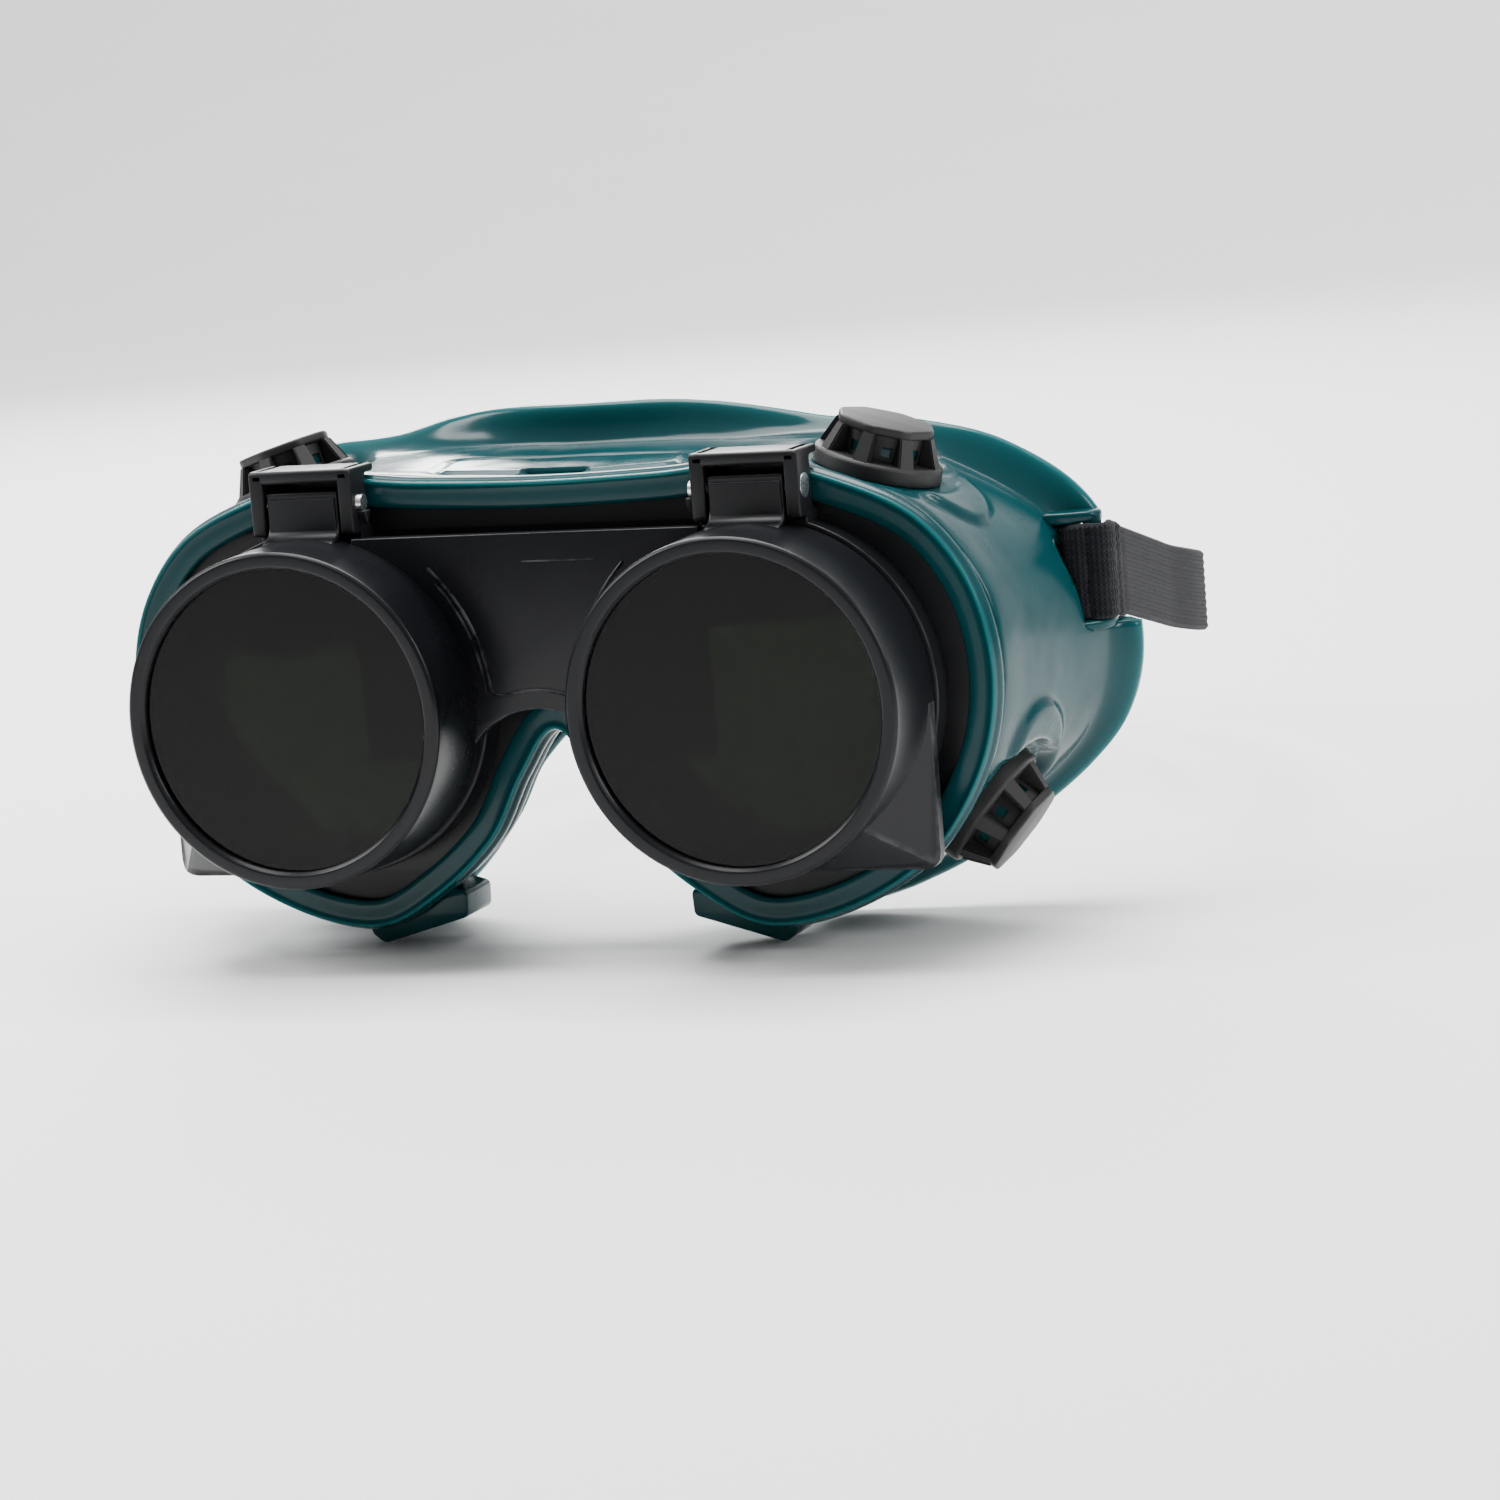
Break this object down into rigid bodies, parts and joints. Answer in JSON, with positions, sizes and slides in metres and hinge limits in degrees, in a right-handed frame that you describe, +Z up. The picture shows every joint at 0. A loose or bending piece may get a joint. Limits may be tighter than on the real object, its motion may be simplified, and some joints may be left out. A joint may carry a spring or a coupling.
{
  "type": "welding goggles",
  "caption": "Flip-front welding goggles: soft green mask, black lens frame, hinged front with dark round filters, capped vents and an elastic head strap.",
  "frame": {"origin": "on the mid-plane, level with the lens centres, in the plane where the mask's sides meet the temples", "axes": "+X to the wearer's left, -Y the way the goggles look, +Z up"},
  "size_m": [0.1668, 0.2198, 0.0832],
  "materials": {
    "mask_pvc": "glossy soft PVC, teal green",
    "frame_plastic": "moulded black plastic, satin gloss",
    "flip_plastic": "moulded black plastic, semi-gloss",
    "filter_glass": "very dark green welding filter glass",
    "clear_glass": "clear polished glass",
    "ring_plastic": "moulded black plastic",
    "pin_steel": "drawn steel wire, bright",
    "vent_plastic": "charcoal moulded plastic, matte",
    "baffle_plastic": "black moulded plastic, matte",
    "strap_elastic": "dark grey ribbed woven elastic",
    "slider_plastic": "black moulded plastic"
  },
  "bodies": {
    "mask": {"mask_body": "mask_pvc", "lens_frame": "frame_plastic", "clear_lens_left": "clear_glass", "clear_lens_right": "clear_glass", "clear_ring_left": "ring_plastic", "clear_ring_right": "ring_plastic", "hinge_pin_left": "pin_steel", "hinge_pin_right": "pin_steel", "vent_cap_top_left": "vent_plastic", "vent_cap_top_right": "vent_plastic", "vent_cap_low_left": "vent_plastic", "vent_cap_low_right": "vent_plastic", "vent_baffle_top_left": "baffle_plastic", "vent_baffle_top_right": "baffle_plastic", "vent_baffle_low_left": "baffle_plastic", "vent_baffle_low_right": "baffle_plastic", "head_strap": "strap_elastic"},
    "flip": {"flip_front": "flip_plastic", "filter_lens_left": "filter_glass", "filter_lens_right": "filter_glass", "filter_ring_left": "ring_plastic", "filter_ring_right": "ring_plastic"},
    "slide": {"strap_slider": "slider_plastic"}
  },
  "joints": [
    {"name": "flip_hinge", "type": "hinge", "parent": "mask", "child": "flip", "pos_m": [0, -0.0474, 0.0318], "axis": [-1, 0, 0], "range_deg": [0, 105]},
    {"name": "slide_on_strap", "type": "slide", "parent": "mask", "child": "slide", "axis": [0.1065, 0.975, -0.195], "range_m": [-0.011, 0.013]}
  ]
}
